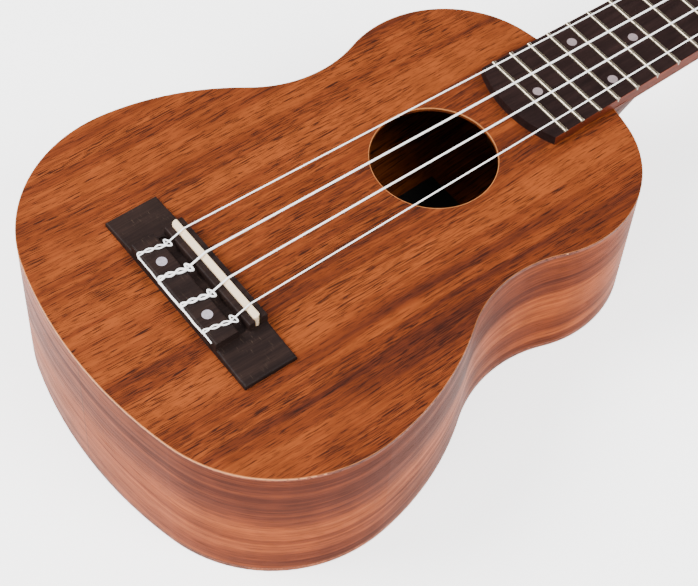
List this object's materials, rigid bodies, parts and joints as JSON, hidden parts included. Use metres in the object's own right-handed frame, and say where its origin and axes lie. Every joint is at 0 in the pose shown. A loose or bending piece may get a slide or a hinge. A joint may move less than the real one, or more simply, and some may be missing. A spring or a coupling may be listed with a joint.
{
  "type": "ukulele",
  "caption": "Figure-eight wooden body with round sound hole, tie bridge, fretted neck and tilted headstock whose geared tuners turn; nylon strings run from bridge to posts.",
  "frame": {"origin": "centre of the bounding box in plan, at the plane of the flat back", "axes": "+Y from the tail to the headstock, +Z out of the soundboard side, +X to the treble side"},
  "size_m": [0.1786, 0.5216, 0.0744],
  "materials": {
    "top_wood": "satin",
    "side_wood": "satin",
    "inner_wood": "matt",
    "brace_wood": "matt",
    "label_paper": "matt",
    "bridge_wood": "matt",
    "saddle_bone": "satin",
    "pearl": "gloss",
    "screw_steel": "plain",
    "neck_wood": "satin",
    "dowel_wood": "matt",
    "cap_wood": "satin",
    "veneer_wood": "satin",
    "board_wood": "matt",
    "fret_metal": "polished",
    "marker_white": "satin",
    "nut_bone": "satin",
    "tuner_nickel": "polished",
    "screw_nickel": "polished",
    "gear_nickel": "satin",
    "shaft_nickel": "satin",
    "button_pearl": "gloss",
    "string_nylon": "satin"
  },
  "bodies": {
    "instrument": {"soundboard": "top_wood", "back_plate": "side_wood", "side_bass": "side_wood", "side_treble": "side_wood", "neck_block": "inner_wood", "tail_block": "inner_wood", "top_linings": "inner_wood", "back_linings": "inner_wood", "soundboard_braces": "brace_wood", "bridge_plate": "brace_wood", "back_braces": "brace_wood", "label": "label_paper", "bridge": "bridge_wood", "saddle": "saddle_bone", "bridge_dots": "pearl", "bridge_screws": "screw_steel", "neck": "neck_wood", "neck_dowels": "dowel_wood", "heel_cap": "cap_wood", "headstock_veneer": "veneer_wood", "fretboard": "board_wood", "frets": "fret_metal", "fret_markers": "marker_white", "side_markers": "marker_white", "nut": "nut_bone", "string_g": "string_nylon", "string_c": "string_nylon", "string_e": "string_nylon", "string_a": "string_nylon", "tuner_bushings": "tuner_nickel", "tuner_plate_screws": "screw_nickel", "tuner_plate_g": "tuner_nickel", "tuner_plate_c": "tuner_nickel", "tuner_plate_e": "tuner_nickel", "tuner_plate_a": "tuner_nickel"},
    "post_g": {"post_g": "tuner_nickel", "gear_g": "gear_nickel", "gear_screw_g": "screw_nickel", "winding_g": "string_nylon"},
    "button_g": {"worm_shaft_g": "shaft_nickel", "button_g": "button_pearl"},
    "post_c": {"post_c": "tuner_nickel", "gear_c": "gear_nickel", "gear_screw_c": "screw_nickel", "winding_c": "string_nylon"},
    "button_c": {"worm_shaft_c": "shaft_nickel", "button_c": "button_pearl"},
    "post_e": {"post_e": "tuner_nickel", "gear_e": "gear_nickel", "gear_screw_e": "screw_nickel", "winding_e": "string_nylon"},
    "button_e": {"worm_shaft_e": "shaft_nickel", "button_e": "button_pearl"},
    "post_a": {"post_a": "tuner_nickel", "gear_a": "gear_nickel", "gear_screw_a": "screw_nickel", "winding_a": "string_nylon"},
    "button_a": {"worm_shaft_a": "shaft_nickel", "button_a": "button_pearl"}
  },
  "joints": [
    {"name": "button_g_turn", "type": "hinge", "parent": "instrument", "child": "button_g", "pos_m": [-0.0315, 0.18603, 0.02571], "axis": [-1, 0, 0], "continuous": true},
    {"name": "post_g_turn", "type": "hinge", "parent": "instrument", "child": "post_g", "pos_m": [-0.0175, 0.18021, 0.04263], "axis": [0, 0.2007, 0.9797], "continuous": true},
    {"name": "button_c_turn", "type": "hinge", "parent": "instrument", "child": "button_c", "pos_m": [-0.0315, 0.22522, 0.01768], "axis": [-1, 0, 0], "continuous": true},
    {"name": "post_c_turn", "type": "hinge", "parent": "instrument", "child": "post_c", "pos_m": [-0.0175, 0.2194, 0.0346], "axis": [0, 0.2007, 0.9797], "continuous": true},
    {"name": "button_e_turn", "type": "hinge", "parent": "instrument", "child": "button_e", "pos_m": [0.0315, 0.22522, 0.01768], "axis": [1, 0, 0], "continuous": true},
    {"name": "post_e_turn", "type": "hinge", "parent": "instrument", "child": "post_e", "pos_m": [0.0175, 0.2194, 0.0346], "axis": [0, 0.2007, 0.9797], "continuous": true},
    {"name": "button_a_turn", "type": "hinge", "parent": "instrument", "child": "button_a", "pos_m": [0.0315, 0.18603, 0.02571], "axis": [1, 0, 0], "continuous": true},
    {"name": "post_a_turn", "type": "hinge", "parent": "instrument", "child": "post_a", "pos_m": [0.0175, 0.18021, 0.04263], "axis": [0, 0.2007, 0.9797], "continuous": true}
  ],
  "couplings": [
    {"joint": "button_g_turn", "follows": "post_g_turn", "ratio": -14},
    {"joint": "button_c_turn", "follows": "post_c_turn", "ratio": -14},
    {"joint": "button_e_turn", "follows": "post_e_turn", "ratio": 14},
    {"joint": "button_a_turn", "follows": "post_a_turn", "ratio": 14}
  ]
}
